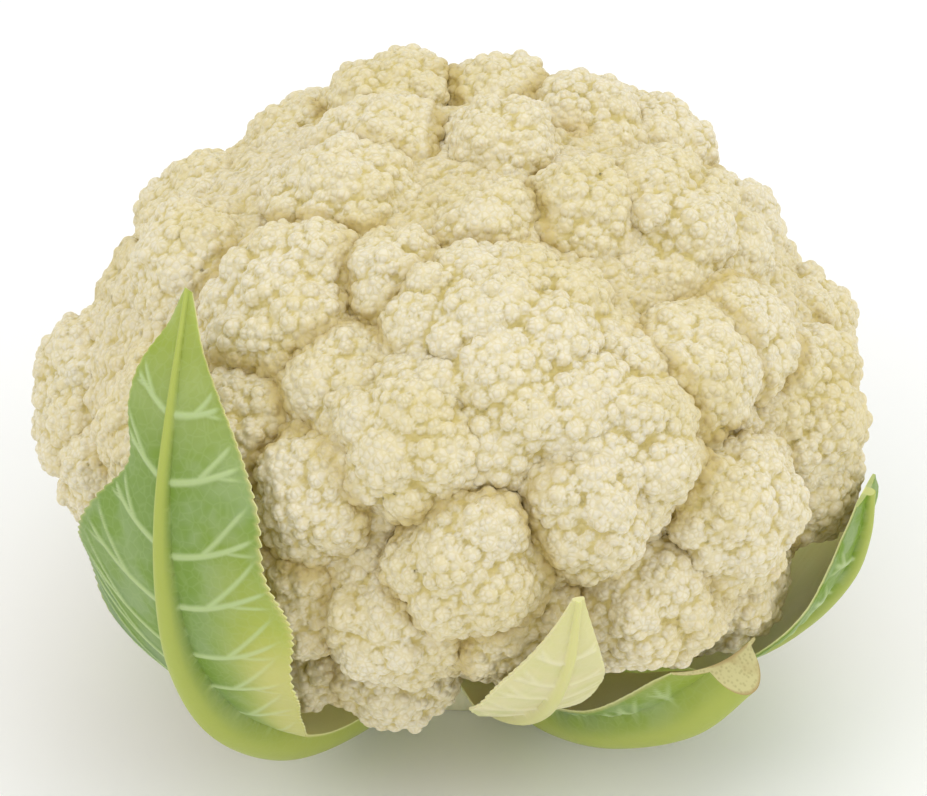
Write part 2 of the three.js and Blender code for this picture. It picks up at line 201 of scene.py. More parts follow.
# Teeth: their pitch, depth as a share of the half-width, place of the point in a pitch, and its sides' slope.
# Scallops: the length of one radian, and the depth.
TOOTH_PITCH, TOOTH_DEPTH, TOOTH_POINT, TOOTH_SLOPE = 2.1, 0.035, 0.3, 1.4
LONG_SCALLOP, SHORT_SCALLOP = (8, 0.03), (3.7, 0.02)
# Side veins: the shares of the spine where they begin and over which they spread, how unevenly, their slope
# at the rib and its growth outwards, their half-width at the rib and its loss outwards, and their height.
VEIN_START, VEIN_SPAN, VEIN_UNEVEN = 0.2, 0.7, 0.22
VEIN_SLOPE, VEIN_CURVE = 0.22, 0.3
VEIN_WIDTH, VEIN_TAPER, VEIN_HEIGHT = 0.9, 0.45, 0.5
# A vein's forks: the shares of the half-width between which each begins, its turn in slope and its strength.
VEIN_FORKS = ((0.35, 0.5, 0.6, 0.8), (0.55, 0.7, -0.45, 0.7))
# Rows of points across a leaf's end, as shares of the way from its outer to its inner face.
END_ROWS = (0.12, 0.35, 0.65, 0.88)

# The stem's radius at shares of its height. Its ridges: their number, their height as a share and their turn.
STEM_SHARES, STEM_RADII = (0, 0.08, 0.64, 1), (22.5, 23.5, 24, 29)
STEM_RIDGES = ((7, 0.015, 0), (17, 0.008, 1))
STEM_SIDES = 96
# The sawn foot dries from the first radius out to the second.
FOOT_RIM = (19, 22.5)

# Sizes of the patterns in the materials.
CURD_PATCH, CURD_BLOT = 24, 17
LEAF_PATCH, FRESH_PATCH, NET_MESH = 14, 9, 2.4
PITH_STRAND, PITH_STAIN, STALK_PATCH = 0.9, 5, 7
CURD_FINISH, STALK_FINISH, CUT_FINISH = "fresh cauliflower curd", "pale cauliflower stalk", "dried cut stalk"

# Softboxes, in metres: the place, the width and the setting that holds the power. They face the lit point.
SOFTBOXES = {
    "key_softbox": ((-0.95, -0.75, 1.1), 0.9, "key_power"),
    "top_softbox": ((0.25, 0.35, 1.6), 1.2, "top_power"),
    "side_softbox": ((1.15, -0.35, 0.8), 0.9, "side_power"),
}
LIT_POINT = Vector((0, 0, 0.07))
FLOOR_WIDTH = 8
SENSOR_WIDTH = 36


# Small helpers

def linear(colour):
    """A hex sRGB colour as linear RGBA."""
    channels = [int(colour[i:i + 2], 16) / 255 for i in (1, 3, 5)]
    return [c / 12.92 if c <= 0.04045 else ((c + 0.055) / 1.055) ** 2.4 for c in channels] + [1]


def heading(azimuth, elevation):
    """The unit vector at an azimuth and elevation in degrees."""
    around, up = math.radians(azimuth), math.radians(elevation)
    return np.array([math.cos(up) * math.cos(around), math.cos(up) * math.sin(around), math.sin(up)])


def smoothstep(low, high, value):
    """0 below low, 1 above high, and a smooth step between them."""
    t = np.clip((value - low) / (high - low), 0, 1)
    return t * t * (3 - 2 * t)


def deselect():
    """Leaves object mode's selection empty."""
    bpy.ops.object.select_all(action="DESELECT")


def activate(piece):
    """Makes one piece the only selected one, and the active one."""
    deselect()
    piece.select_set(True)
    bpy.context.view_layer.objects.active = piece


def new_piece(name, points, faces):
    """A mesh object from points in millimetres and faces that all have the same number of corners."""
    mesh = bpy.data.meshes.new(name)
    corners = len(faces[0])
    mesh.vertices.add(len(points))
    mesh.vertices.foreach_set("co", (np.asarray(points) * MM).astype(np.float32).ravel())
    mesh.loops.add(len(faces) * corners)
    mesh.loops.foreach_set("vertex_index", np.asarray(faces, np.int32).ravel())
    mesh.polygons.add(len(faces))
    mesh.polygons.foreach_set("loop_start", np.arange(len(faces), dtype=np.int32) * corners)
    mesh.update(calc_edges=True)
    piece = bpy.data.objects.new(name, mesh)
    bpy.context.scene.collection.objects.link(piece)
    return piece


def points_of(piece):
    """A piece's vertices in millimetres."""
    flat = np.empty(len(piece.data.vertices) * 3, np.float32)
    piece.data.vertices.foreach_get("co", flat)
    return flat.reshape(-1, 3).astype(float) / MM


def paint(piece, name, values):
    """Stores one number for each vertex, for the materials to read."""
    attribute = piece.data.attributes.new(name, "FLOAT", "POINT")
    attribute.data.foreach_set("value", np.asarray(values, np.float32).ravel())


def hand_over(piece, node):
    """Makes a piece stand for a node of the solids."""
    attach(piece, BODY)
    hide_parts(node)


# Materials

def add_node(tree, kind, links=None, **settings):
    """Adds a node, sets its properties and sockets, and links sockets to other nodes' outputs."""
    node = tree.nodes.new(kind)
    for key, value in settings.items():
        if hasattr(node, key):
            setattr(node, key, value)
        else:
            node.inputs[key].default_value = value
    for socket, source in (links or {}).items():
        tree.links.new(source, node.inputs[socket])
    return node


def new_material(name):
    """A material with a plain Principled surface, its tree and its shader."""
    material = bpy.data.materials.new(name)
    material.use_nodes = True
    return material, material.node_tree, material.node_tree.nodes["Principled BSDF"]


def shared(make, name, settings):
    """The material of a name, made by its function when it is first asked for."""
    return bpy.data.materials.get(name) or make(name, settings)


def layered(tree, ground, layers):
    """The output of a ground colour under layers of a factor and a colour, the topmost last."""
    below = None
    for factor, colour in layers:
        mix = add_node(tree, "ShaderNodeMix", {"Factor": factor}, data_type="RGBA")
        if below:
            tree.links.new(below, mix.inputs[6])
        else:
            mix.inputs[6].default_value = linear(ground)
        mix.inputs[7].default_value = linear(colour)
        below = mix.outputs[2]
    return below


def noise(tree, size, detail):
    """The output of a noise with patches of a size in millimetres."""
    where = add_node(tree, "ShaderNodeTexCoord").outputs["Object"]
    node = add_node(tree, "ShaderNodeTexNoise", {"Vector": where}, Scale=1 / (size * MM), Detail=detail)
    return node.outputs["Fac"]


def cells(tree, size, feature="F1"):
    """The output of a distance from the middles or the edges of cells of a size in millimetres."""
    where = add_node(tree, "ShaderNodeTexCoord").outputs["Object"]
    node = add_node(tree, "ShaderNodeTexVoronoi", {"Vector": where}, feature=feature, Scale=1 / (size * MM))
    return node.outputs["Distance"]


def dress(tree, shader, colour, height, strength, depth):
    """Gives a shader its colour, and a bump from a height with a depth in millimetres."""
    tree.links.new(colour, shader.inputs["Base Color"])
    bump = add_node(tree, "ShaderNodeBump", {"Height": height}, Strength=strength, Distance=depth * MM)
    tree.links.new(bump.outputs["Normal"], shader.inputs["Normal"])


def ranged(tree, value, low, high, to_low=0.0, to_high=1.0):
    """The output of a value moved smoothly from one range to another."""
    node = add_node(tree, "ShaderNodeMapRange", {"Value": value}, interpolation_type="SMOOTHSTEP")
    for socket, number in zip(node.inputs[1:5], (low, high, to_low, to_high)):
        socket.default_value = number
    return node.outputs["Result"]


def painted(tree, name):
    """The output of a number painted on the vertices."""
    return add_node(tree, "ShaderNodeAttribute", attribute_name=name).outputs["Fac"]


def curd_material(name, settings):
    """Cauliflower curd: dense matte flower buds, whitest on their tops, with painted ochre shade between
    buds, lobes and florets.
    """
    material, tree, shader = new_material(name)
    bud_width = settings.bud_width / MM
    # Painted shade in thin lines along the seams between buds, in the hollow shade colour
    bud_seam_shade = ranged(tree, cells(tree, bud_width, "DISTANCE_TO_EDGE"), 0.0, 0.2, 0.35, 0)
    colour = layered(tree, settings.bud_colour, (
        (ranged(tree, noise(tree, CURD_PATCH, 3.0), 0.35, 0.7), settings.warm_colour),
        # Painted shade, darker and ochre, in the hollows between knobs and between lobes
        (ranged(tree, painted(tree, "bud_hollow"), 0.0, 1.0, 0, 0.75), settings.hollow_shade_colour),
        (ranged(tree, painted(tree, "lobe_hollow"), 0.0, 1.0, 0, 0.6), settings.hollow_shade_colour),
        # Painted shade in the creases between florets
        (ranged(tree, painted(tree, "floret_crease"), 0.0, 1.0, 0, 0.65), settings.crease_shade_colour),
        (ranged(tree, noise(tree, CURD_BLOT, 2.0), 0.68, 0.8, 0, 0.5), settings.blot_colour),
        (bud_seam_shade, settings.hollow_shade_colour)))
    domes = ranged(tree, cells(tree, bud_width), 0.0, 0.75, 1, 0)
    dress(tree, shader, colour, domes, 1.0, 0.4)
    shader.inputs["Roughness"].default_value = 0.62
    shader.inputs["Specular IOR Level"].default_value = 0.35
    shader.inputs["Subsurface Weight"].default_value = 0.12
    shader.inputs["Subsurface Radius"].default_value = (1.0, 0.8, 0.5)
    shader.inputs["Subsurface Scale"].default_value = 1.5 * MM
    return material


def leaf_material(name, settings):
    """Brassica leaf: waxy bloom over green, yellower at the base, raised pale veins, a fine net, and painted
    light and shade.
    """
    material, tree, shader = new_material(name)
    patches = noise(tree, LEAF_PATCH, 4.0)
    bare = ranged(tree, noise(tree, FRESH_PATCH, 2.0), 0.45, 0.65)
    fresh = add_node(tree, "ShaderNodeMath", {0: bare, 1: painted(tree, "fresh")}, operation="MULTIPLY")
    net = ranged(tree, cells(tree, NET_MESH, "DISTANCE_TO_EDGE"), 0.0, 0.12, 0.1, 0)
    colour = layered(tree, settings.blade_colour, (
        (ranged(tree, patches, 0.35, 0.68), settings.bloom_colour),
        # Painted shade on the lower left lobe
        (painted(tree, "shade"), settings.shaded_lobe_colour),
        (fresh.outputs["Value"], settings.fresh_colour),
        # Paler towards the base and the tip as the leaf's own colour, and painted light on the right side of
        # the blade
        (painted(tree, "fade"), settings.fade_and_light_colour),
        (net, settings.vein_colour),
        (ranged(tree, painted(tree, "vein"), 0.1, 0.9, 0, 0.85), settings.vein_colour),
        (painted(tree, "margin"), settings.margin_colour),
        (painted(tree, "rib"), settings.rib_colour),
        # Paler face towards the head: partly its own paler colour, partly painted light in the shade of the
        # head
        (ranged(tree, painted(tree, "inner"), 0, 1, 0, 0.9), settings.inner_pale_and_lit_colour)))
    dress(tree, shader, colour, net, 0.35, 0.4)
    tree.links.new(ranged(tree, patches, 0.3, 0.7, 0.38, 0.55), shader.inputs["Roughness"])
    shader.inputs["Specular IOR Level"].default_value = 0.25
    shader.inputs["Subsurface Weight"].default_value = 0.2
    shader.inputs["Subsurface Radius"].default_value = (0.8, 1.0, 0.25)
    shader.inputs["Subsurface Scale"].default_value = 1.2 * MM
    return material


def cut_material(name, settings):
    """Cut leaf stalk: damp pale pith that has dried to a brown skin round its rim, dotted with strands."""
    material, tree, shader = new_material(name)
    stains = noise(tree, PITH_STAIN, 4.0)
    colour = layered(tree, settings.strand_colour, (
        (ranged(tree, cells(tree, PITH_STRAND), 0.1, 0.5), settings.pith_colour),
        (ranged(tree, stains, 0.5, 0.75, 0, 0.6), settings.dried_colour),
        (painted(tree, "rim"), settings.dried_colour)))
    dress(tree, shader, colour, stains, 0.5, 0.4)
    shader.inputs["Roughness"].default_value = 0.6
    return material


def stalk_material(name, settings):
    """Cauliflower stalk: smooth pale green skin with creamy patches."""
    material, tree, shader = new_material(name)
    patches = noise(tree, STALK_PATCH, 4.0)
    cream = ranged(tree, patches, 0.35, 0.7)
    colour = layered(tree, settings.stalk_colour, ((cream, settings.stalk_light),))
    dress(tree, shader, colour, patches, 0.3, 0.6)
    shader.inputs["Roughness"].default_value = 0.5
    shader.inputs["Subsurface Weight"].default_value = 0.15
    shader.inputs["Subsurface Scale"].default_value = 2 * MM
    return material


# The head

def outline(direction):
    """The point of the head's even outline in one direction, and the outline's outward normal there."""
    vertical = CROWN_RISE if direction[2] > 0 else SKIRT_DROP
    half_axes = np.array([HEAD_HALF_WIDTH, HEAD_HALF_DEPTH, vertical])
    point = direction / np.linalg.norm(direction / half_axes)
    normal = point / half_axes ** 2
    return point, normal / np.linalg.norm(normal)


def place_florets():
    """Every floret as a ball that meets the head's outline or rises out of it, and its neighbours."""
    rows = [(*floret, 1) for floret in FRONT_FLORETS]
    for elevation, radius, rise, first, last, count in BACK_ROWS:
        rows += [(azimuth, elevation, radius, rise, BACK_COARSENESS)
                 for azimuth in np.linspace(first, last, count)]
    florets = []
    for azimuth, elevation, radius, rise, coarseness in rows:
        point, normal = outline(heading(azimuth, elevation))
        centre = HEAD_CENTRE + point + normal * (rise - radius)
        florets.append(dict(centre=centre, radius=radius, outward=normal, region=region(azimuth, elevation),
                            coarseness=coarseness))
    centres, radii = as_balls(florets)
    for index, floret in enumerate(florets):
        touching = np.linalg.norm(centres - centres[index], axis=1) < radii + radii[index]
        floret["neighbours"] = [j for j in np.flatnonzero(touching) if j != index]
    return florets


def as_balls(florets, bark=0):
    """The florets' centres, and their radii without a bark of some thickness."""
    return np.array([f["centre"] for f in florets]), np.array([f["radius"] - bark for f in florets])


def region(azimuth, elevation):
    """The name of the part of the head that a direction lies in."""
    if elevation > CROWN_FROM:
        return "crown"
    band = "shoulder" if elevation > SHOULDER_FROM else "upper" if elevation > UPPER_FROM else "lower"
    side = SIDES[round(azimuth * len(SIDES) / 360) % len(SIDES)]
    return f"{band}_{side}"


def scatter(parent, outward, level, rng):
    """Balls over a parent ball's outer side, the large ones first and small ones in the gaps between."""
    centre, parent_radius = parent
    mean = level["share"] * parent_radius + level["base"]
    height_range = 1 - math.cos(level["cap"])
    count = int(CROWDING * 2 * parent_radius ** 2 * height_range / mean ** 2) + 1
    height = 1 - rng.uniform(0, height_range, count)
    around = rng.uniform(0, 2 * math.pi, count)
    ring = np.sqrt(1 - height ** 2)
    turn = Vector((0, 0, 1)).rotation_difference(Vector(outward)).to_matrix()
    directions = np.stack([ring * np.cos(around), ring * np.sin(around), height], axis=1) @ np.array(turn).T
    radii = mean * level["spread"] ** np.linspace(1, -1, count)
    gaps = np.linalg.norm(directions[:, None] - directions[None], axis=2) * parent_radius
    crowded = gaps < level["spacing"] * (radii[:, None] + radii[None]) / 2
    keep = np.ones(count, bool)
    for i in range(count):
        if keep[i]:
            keep[i + 1:] &= ~crowded[i, i + 1:]
    directions, radii = directions[keep], radii[keep]
    reach = parent_radius - radii * (level["sink"] + level["jitter"] * rng.uniform(-0.5, 1, len(radii)))
    return centre + directions * reach[:, None], radii, directions


def depth_inside(points, centres, radii):
    """How deep each point is inside the balls, or the negative of its distance from the nearest one."""
    deepest = np.full(len(points), -np.inf)
    if len(centres):
        for start in range(0, len(points), BATCH):
            part = points[start:start + BATCH]
            gaps = np.linalg.norm(part[:, None] - centres[None], axis=2)
            deepest[start:start + BATCH] = (radii - gaps).max(axis=1)
    return deepest


def grow_lobes(floret, neighbours, rng):
    """A floret's lobes, without those that its neighbours bury."""
    ball = floret["centre"], floret["radius"] - KNOB_RISE
    centres, radii, directions = scatter(ball, floret["outward"], LOBES, rng)
    keep = depth_inside(centres + directions * radii[:, None], *as_balls(neighbours)) < LOBE_BURIED
    return centres[keep], radii[keep], directions[keep]


def grow_knobs(lobes, hidden_by, rng):
    """The knobs on some lobes, without those whose tips the hiding balls bury."""
    found = [scatter((centre, radius), outward, KNOBS, rng) for centre, radius, outward in zip(*lobes)]
    centres, radii, directions = (np.concatenate(level) for level in zip(*found))
    keep = depth_inside(centres + directions * radii[:, None], *hidden_by) < KNOB_BURIED
    return centres[keep], radii[keep], directions[keep]


def unit_ball(subdivisions):
    """The points and triangles of an ico sphere of radius 1."""
    bpy.ops.mesh.primitive_ico_sphere_add(subdivisions=subdivisions, radius=1)
    ball = bpy.context.object
    points = np.array([v.co[:] for v in ball.data.vertices])
    faces = np.array([p.vertices[:] for p in ball.data.polygons])
    bpy.data.objects.remove(ball)
    return points, faces


def heap(name, groups):
    """One mesh of many balls. A group is a unit ball's points and triangles, and centres and radii."""
    points, faces, start = [], [], 0
    for (ball_points, ball_faces), centres, radii in groups:
        points.append((centres[:, None] + ball_points[None] * radii[:, None, None]).reshape(-1, 3))
        offsets = start + np.arange(len(centres)) * len(ball_points)
        faces.append((offsets[:, None, None] + ball_faces[None]).reshape(-1, 3))
        start += len(centres) * len(ball_points)
    return new_piece(name, np.concatenate(points), np.concatenate(faces))


def trim_root(piece, floret):
    """Cuts off the floret's hidden inner side, flat, a little below its centre."""
    root = floret["centre"] - ROOT_TRIM * floret["radius"] * floret["outward"]
    activate(piece)
    bpy.ops.object.mode_set(mode="EDIT")
    bpy.ops.mesh.select_all(action="SELECT")
    bpy.ops.mesh.bisect(plane_co=root * MM, plane_no=floret["outward"], use_fill=True, clear_inner=True)
    bpy.ops.object.mode_set(mode="OBJECT")


def hollow_depth(piece, rounds):
    """How far each vertex lies below its surroundings, in millimetres, from so many rounds of averaging."""
    points = points_of(piece)
    edges = np.empty(len(piece.data.edges) * 2, np.int32)
    piece.data.edges.foreach_get("vertices", edges)
    first, second = edges[::2], edges[1::2]
    count = len(points)
    degree = np.maximum(np.bincount(first, minlength=count) + np.bincount(second, minlength=count), 1)
    even = points
    for _ in range(rounds):
        sums = [np.bincount(first, even[second, k], count) + np.bincount(second, even[first, k], count)
                for k in range(3)]
        even = np.stack(sums, axis=1) / degree[:, None]
    normals = np.empty(count * 3, np.float32)
    piece.data.vertices.foreach_get("normal", normals)
    return ((even - points) * normals.reshape(-1, 3)).sum(axis=1)


def skin_step(settings, coarseness):
    return settings.skin_step * coarseness * 1


def skin_over(name, groups, step):
    """A closed smooth skin over heaped balls."""
    piece = heap(name, groups)
    activate(piece)
    piece.data.remesh_voxel_size = step
    bpy.ops.object.voxel_remesh()
    bpy.ops.object.shade_smooth()
    return piece


def creases(points, florets):
    """How much each point lies in a crease between two florets, more so the steeper their sides meet."""
    centres, radii = as_balls(florets)
    away = points[:, None] - centres[None]
    gaps = np.linalg.norm(away, axis=2)
    nearest = np.argpartition(gaps - radii, 1, axis=1)[:, :2]
    rows = np.arange(len(points))[:, None]
    first, second = np.moveaxis(away[rows, nearest] / gaps[rows, nearest][..., None], 1, 0)
    margin = np.abs(np.diff((gaps - radii)[rows, nearest], axis=1))[:, 0]
    fold = 1 - (first * second).sum(axis=1)
    return (1 - smoothstep(0, CREASE_WIDTH, margin)) * smoothstep(0.1, 0.9, fold)


def paint_hollows(piece, crease, step):
    """Paints how deep each place lies between florets, between lobes and between knobs, which the curd turns
    into painted shade.
    """
    paint(piece, "floret_crease", crease)
    for name, (reach, shallow, deep) in HOLLOWS.items():
        rounds = round((reach * MM / step) ** 2)
        paint(piece, name, smoothstep(shallow, deep, hollow_depth(piece, rounds)))


def grow_floret(index, florets, lobes, settings, balls):
    """One floret as a skin over its core, lobes and knobs."""
    floret = florets[index]
    rng = np.random.default_rng(SEED + KNOB_SEEDS + index)
    own = lobes[index]
    near = [index, *floret["neighbours"]]
    hidden_by = [np.concatenate([lobes[j][k] for j in near]) for k in (0, 1)]
    core_radius = floret["radius"] - KNOB_RISE - CORE_SINK * own[1].mean()
    core = (floret["centre"][None], np.array([core_radius]))
    carriers = [np.concatenate(pair) for pair in zip(own, (*core, floret["outward"][None]))]
    centres, radii, _ = grow_knobs(carriers, hidden_by, rng)
    facing = (centres - floret["centre"]) @ floret["outward"] > -KNOB_LIMIT * floret["radius"]
    groups = [(balls[CORE_DETAIL], *core), (balls[LOBE_DETAIL], *own[:2]),
              (balls[KNOB_DETAIL], centres[facing], radii[facing])]
    step = skin_step(settings, floret["coarseness"])
    piece = skin_over(f"floret_{index}", groups, step)
    trim_root(piece, floret)
    paint_hollows(piece, creases(points_of(piece), [florets[j] for j in near]), step)
    return piece


def fill_gaps(florets, lobes, settings, balls):
    """Lobes in the gaps between florets, so that no gap shows the inside of the head."""
    rng = np.random.default_rng(SEED)
    steps = (np.arange(FILLER_COUNT) + 0.5) / FILLER_COUNT
    found = []
    for step, turn in zip(steps, np.arange(FILLER_COUNT) * GOLDEN_ANGLE):
        elevation = math.asin(1 - FILLER_SPAN * step)
        point, normal = outline(heading(math.degrees(turn), math.degrees(elevation)))
        found.append((HEAD_CENTRE + point - normal * FILLER_DEPTH, normal))
    tips, normals = (np.array(part) for part in zip(*found))
    all_lobes = [np.concatenate([part[k] for part in lobes]) for k in (0, 1)]
    cores = as_balls(florets, FLORET_BARK)
    keep = np.maximum(depth_inside(tips, *all_lobes), depth_inside(tips, *cores)) < FILLER_BURIED
    tips, normals = tips[keep], normals[keep]
    radii = np.full(len(tips), FILLER_RADIUS)
    fillers = (tips - normals * radii[:, None], radii, normals)
    knobs = grow_knobs(fillers, all_lobes, rng)
    groups = [(balls[LOBE_DETAIL], *fillers[:2]), (balls[KNOB_DETAIL], *knobs[:2])]
    step = skin_step(settings, FILLER_COARSENESS)
    piece = skin_over("florets_between", groups, step)
    # The lobes in the gaps all get the same share of painted crease shade.
    paint_hollows(piece, np.full(len(piece.data.vertices), FILLER_CREASE_SHADE), step)
    return piece


def grow_florets(settings):
    """All florets, joined into one piece for each region of the head, and the lobes between them."""
    florets = place_florets()
    balls = {detail: unit_ball(detail) for detail in (CORE_DETAIL, LOBE_DETAIL, KNOB_DETAIL)}
    lobes = []
    for index, floret in enumerate(florets):
        near = [florets[j] for j in floret["neighbours"]]
        lobes.append(grow_lobes(floret, near, np.random.default_rng(SEED + index)))
    regions = {}
    for index, floret in enumerate(florets):
        piece = grow_floret(index, florets, lobes, settings, balls)
        regions.setdefault(floret["region"], []).append(piece)
    regions["between"] = [fill_gaps(florets, lobes, settings, balls)]
    for name, pieces in regions.items():
        activate(pieces[0])
        for piece in pieces:
            piece.select_set(True)
        bpy.ops.object.join()
        joined = bpy.context.object
        joined.name = joined.data.name = f"florets_{name}"
        joined.data.materials.append(shared(curd_material, CURD_FINISH, settings))
        hand_over(joined, "curd")


def build_core(settings, curd_settings):
    """The branching inside of the head, which shows only in the deepest gaps and from below."""
    deselect()
    bpy.ops.mesh.primitive_ico_sphere_add(subdivisions=INSIDE_DETAIL, radius=1)
    core = bpy.context.object
    core.name = core.data.name = "curd_core"
    points = points_of(core) * MM
    half_axes = np.where(points[:, 2:] > 0, (HEAD_HALF_WIDTH, HEAD_HALF_DEPTH, CROWN_RISE),
                         (HEAD_HALF_WIDTH, HEAD_HALF_DEPTH, SKIRT_DROP))
    around = np.arctan2(points[:, 1], points[:, 0])
    ribs = 1 + CORE_RIB_HEIGHT * np.sin(CORE_RIBS * around) * (1 - points[:, 2] ** 2)
    points = HEAD_CENTRE + points * half_axes * CORE_SHARE * ribs[:, None]
    points[:, 2] = np.maximum(points[:, 2], UNDERSIDE_Z)
    core.data.vertices.foreach_set("co", (points * MM).ravel())
    core.data.update()
    activate(core)
    bpy.ops.object.shade_smooth()
    # The core gets the full painted shade of the creases and hollows all over.
    for name in ("floret_crease", *HOLLOWS):
        paint(core, name, np.ones(len(points)))
    core.data.materials.append(shared(curd_material, CURD_FINISH, curd_settings))
    core.data.materials.append(shared(stalk_material, STALK_FINISH, settings))
    for face in core.data.polygons:
        face.material_index = int(face.center.z < (UNDERSIDE_Z + BARE_STALK) * MM)
    hand_over(core, "curd")


# The stem

def build_stem(settings):
    """The cut stem: a tapered stalk with soft ridges, its foot sawn flat."""
    low, high = (np.array(corner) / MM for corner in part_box("stem"))
    deselect()
    bpy.ops.mesh.primitive_cylinder_add(vertices=STEM_SIDES, radius=1, depth=1)
    stem = bpy.context.object
    stem.name = stem.data.name = "stem_stalk"
    bpy.ops.object.mode_set(mode="EDIT")
    bpy.ops.mesh.select_all(action="SELECT")
    bpy.ops.mesh.bevel(offset=0.04, segments=3, affect="EDGES")
    bpy.ops.mesh.subdivide(number_cuts=2)
    bpy.ops.object.mode_set(mode="OBJECT")
    points = points_of(stem) * MM
    share = points[:, 2] + 0.5
    flare = np.interp(share, STEM_SHARES, STEM_RADII)
    around = np.arctan2(points[:, 1], points[:, 0])
    ridges = 1 + sum(height * np.sin(count * around + turn) for count, height, turn in STEM_RIDGES)
    points[:, :2] *= (flare * ridges)[:, None]
    points[:, 2] = low[2] + share * (high[2] - low[2])
    stem.data.vertices.foreach_set("co", (points * MM).ravel())
    stem.data.update()
    activate(stem)
    bpy.ops.object.shade_smooth_by_angle(angle=math.radians(50))
    paint(stem, "rim", smoothstep(*FOOT_RIM, np.hypot(points[:, 0], points[:, 1])) * (points[:, 2] < 0.5))
    stem.data.materials.append(shared(stalk_material, STALK_FINISH, settings))
    stem.data.materials.append(shared(cut_material, CUT_FINISH, settings))
    for face in stem.data.polygons:
        face.material_index = int(face.normal.z < -0.9)
    hand_over(stem, "stem")


# The leaves

def catmull_rom(values, u):
    """Values between evenly spaced ones, on a uniform Catmull-Rom curve, at shares u of its length."""
    values = np.asarray(values, float)
    ends = np.concatenate([[2 * values[0] - values[1]], values, [2 * values[-1] - values[-2]]])
    place = np.clip(np.asarray(u) * (len(values) - 1), 0, len(values) - 1 - 1e-9)
    segment = place.astype(int)
    t = place - segment
    if values.ndim > 1:
        t = t[..., None]
    a, b, c, d = (ends[segment + k] for k in range(4))
    return b + 0.5 * t * (c - a + t * (2 * a - 5 * b + 4 * c - d + t * (3 * (b - c) + d - a)))


def leaf_spine(leaf, u):
    """Points of the leaf's spine at even steps, its sideways and outward directions there, and its length."""
    corners = [heading(azimuth, 0) * reach + (0, 0, height) for azimuth, reach, height in leaf["spine"]]
    fine = catmull_rom(corners, np.linspace(0, 1, 800))
    travelled = np.concatenate([[0], np.cumsum(np.linalg.norm(np.diff(fine, axis=0), axis=1))])
    centre = np.stack([np.interp(u * travelled[-1], travelled, fine[:, k]) for k in range(3)], axis=1)
    tangent = np.gradient(centre, axis=0)
    sideways = np.stack([-centre[:, 1], centre[:, 0], np.zeros(len(u))], axis=1)
    sideways /= np.linalg.norm(sideways, axis=1, keepdims=True)
    outward = np.cross(sideways, tangent)
    outward /= np.linalg.norm(outward, axis=1, keepdims=True)
    return centre, sideways, outward, travelled[-1]


def vein_mask(u, t, half, length, count, rng):
    """How strongly each place of the blade is a side vein or one of its forks, from 0 to 1."""
    mask = np.zeros(half.shape)
    size = np.abs(t)
    width = VEIN_WIDTH - VEIN_TAPER * size
    for side in (-1, 1):
        places = np.arange(count) + rng.uniform(-VEIN_UNEVEN, VEIN_UNEVEN, count)
        for start in VEIN_START + VEIN_SPAN * places / count:
            lean = VEIN_SLOPE * rng.uniform(0.8, 1.3)
            forks = [(rng.uniform(low, high), turn, strength) for low, high, turn, strength in VEIN_FORKS]
            for begins, turn, strength in ((0, 0, 1), *forks):
                climb = lean * size + VEIN_CURVE * size ** 2 + turn * (size - begins)
                slope = lean + 2 * VEIN_CURVE * size + turn
                distance = np.abs((u - start) * length - climb * half) / np.sqrt(1 + slope ** 2)
                drawn = (np.sign(t) == side) & (size >= begins)
                mask = np.maximum(mask, drawn * strength * np.exp(-(distance / width) ** 2))
    return mask * (1 - 0.8 * smoothstep(0.8, 1.0, size)) * (1 - 0.6 * smoothstep(0.85, 1.0, u))


def toothed(u, length, rng):
    """How far the margin stands out, as a share of its half-width: fine uneven teeth on shallow scallops."""
    place = u * length / TOOTH_PITCH + 0.5 * np.sin(u * 31 + rng.uniform(0, 6))
    tooth = 1 - np.abs((place % 1) - TOOTH_POINT) * TOOTH_SLOPE
    (long_step, long_depth), (short_step, short_depth) = LONG_SCALLOP, SHORT_SCALLOP
    scallop = long_depth * np.sin(u * length / long_step + rng.uniform(0, 6))
    scallop += short_depth * np.sin(u * length / short_step) - 0.015
    return smoothstep(0.3, 0.42, u) * (TOOTH_DEPTH * tooth + scallop)


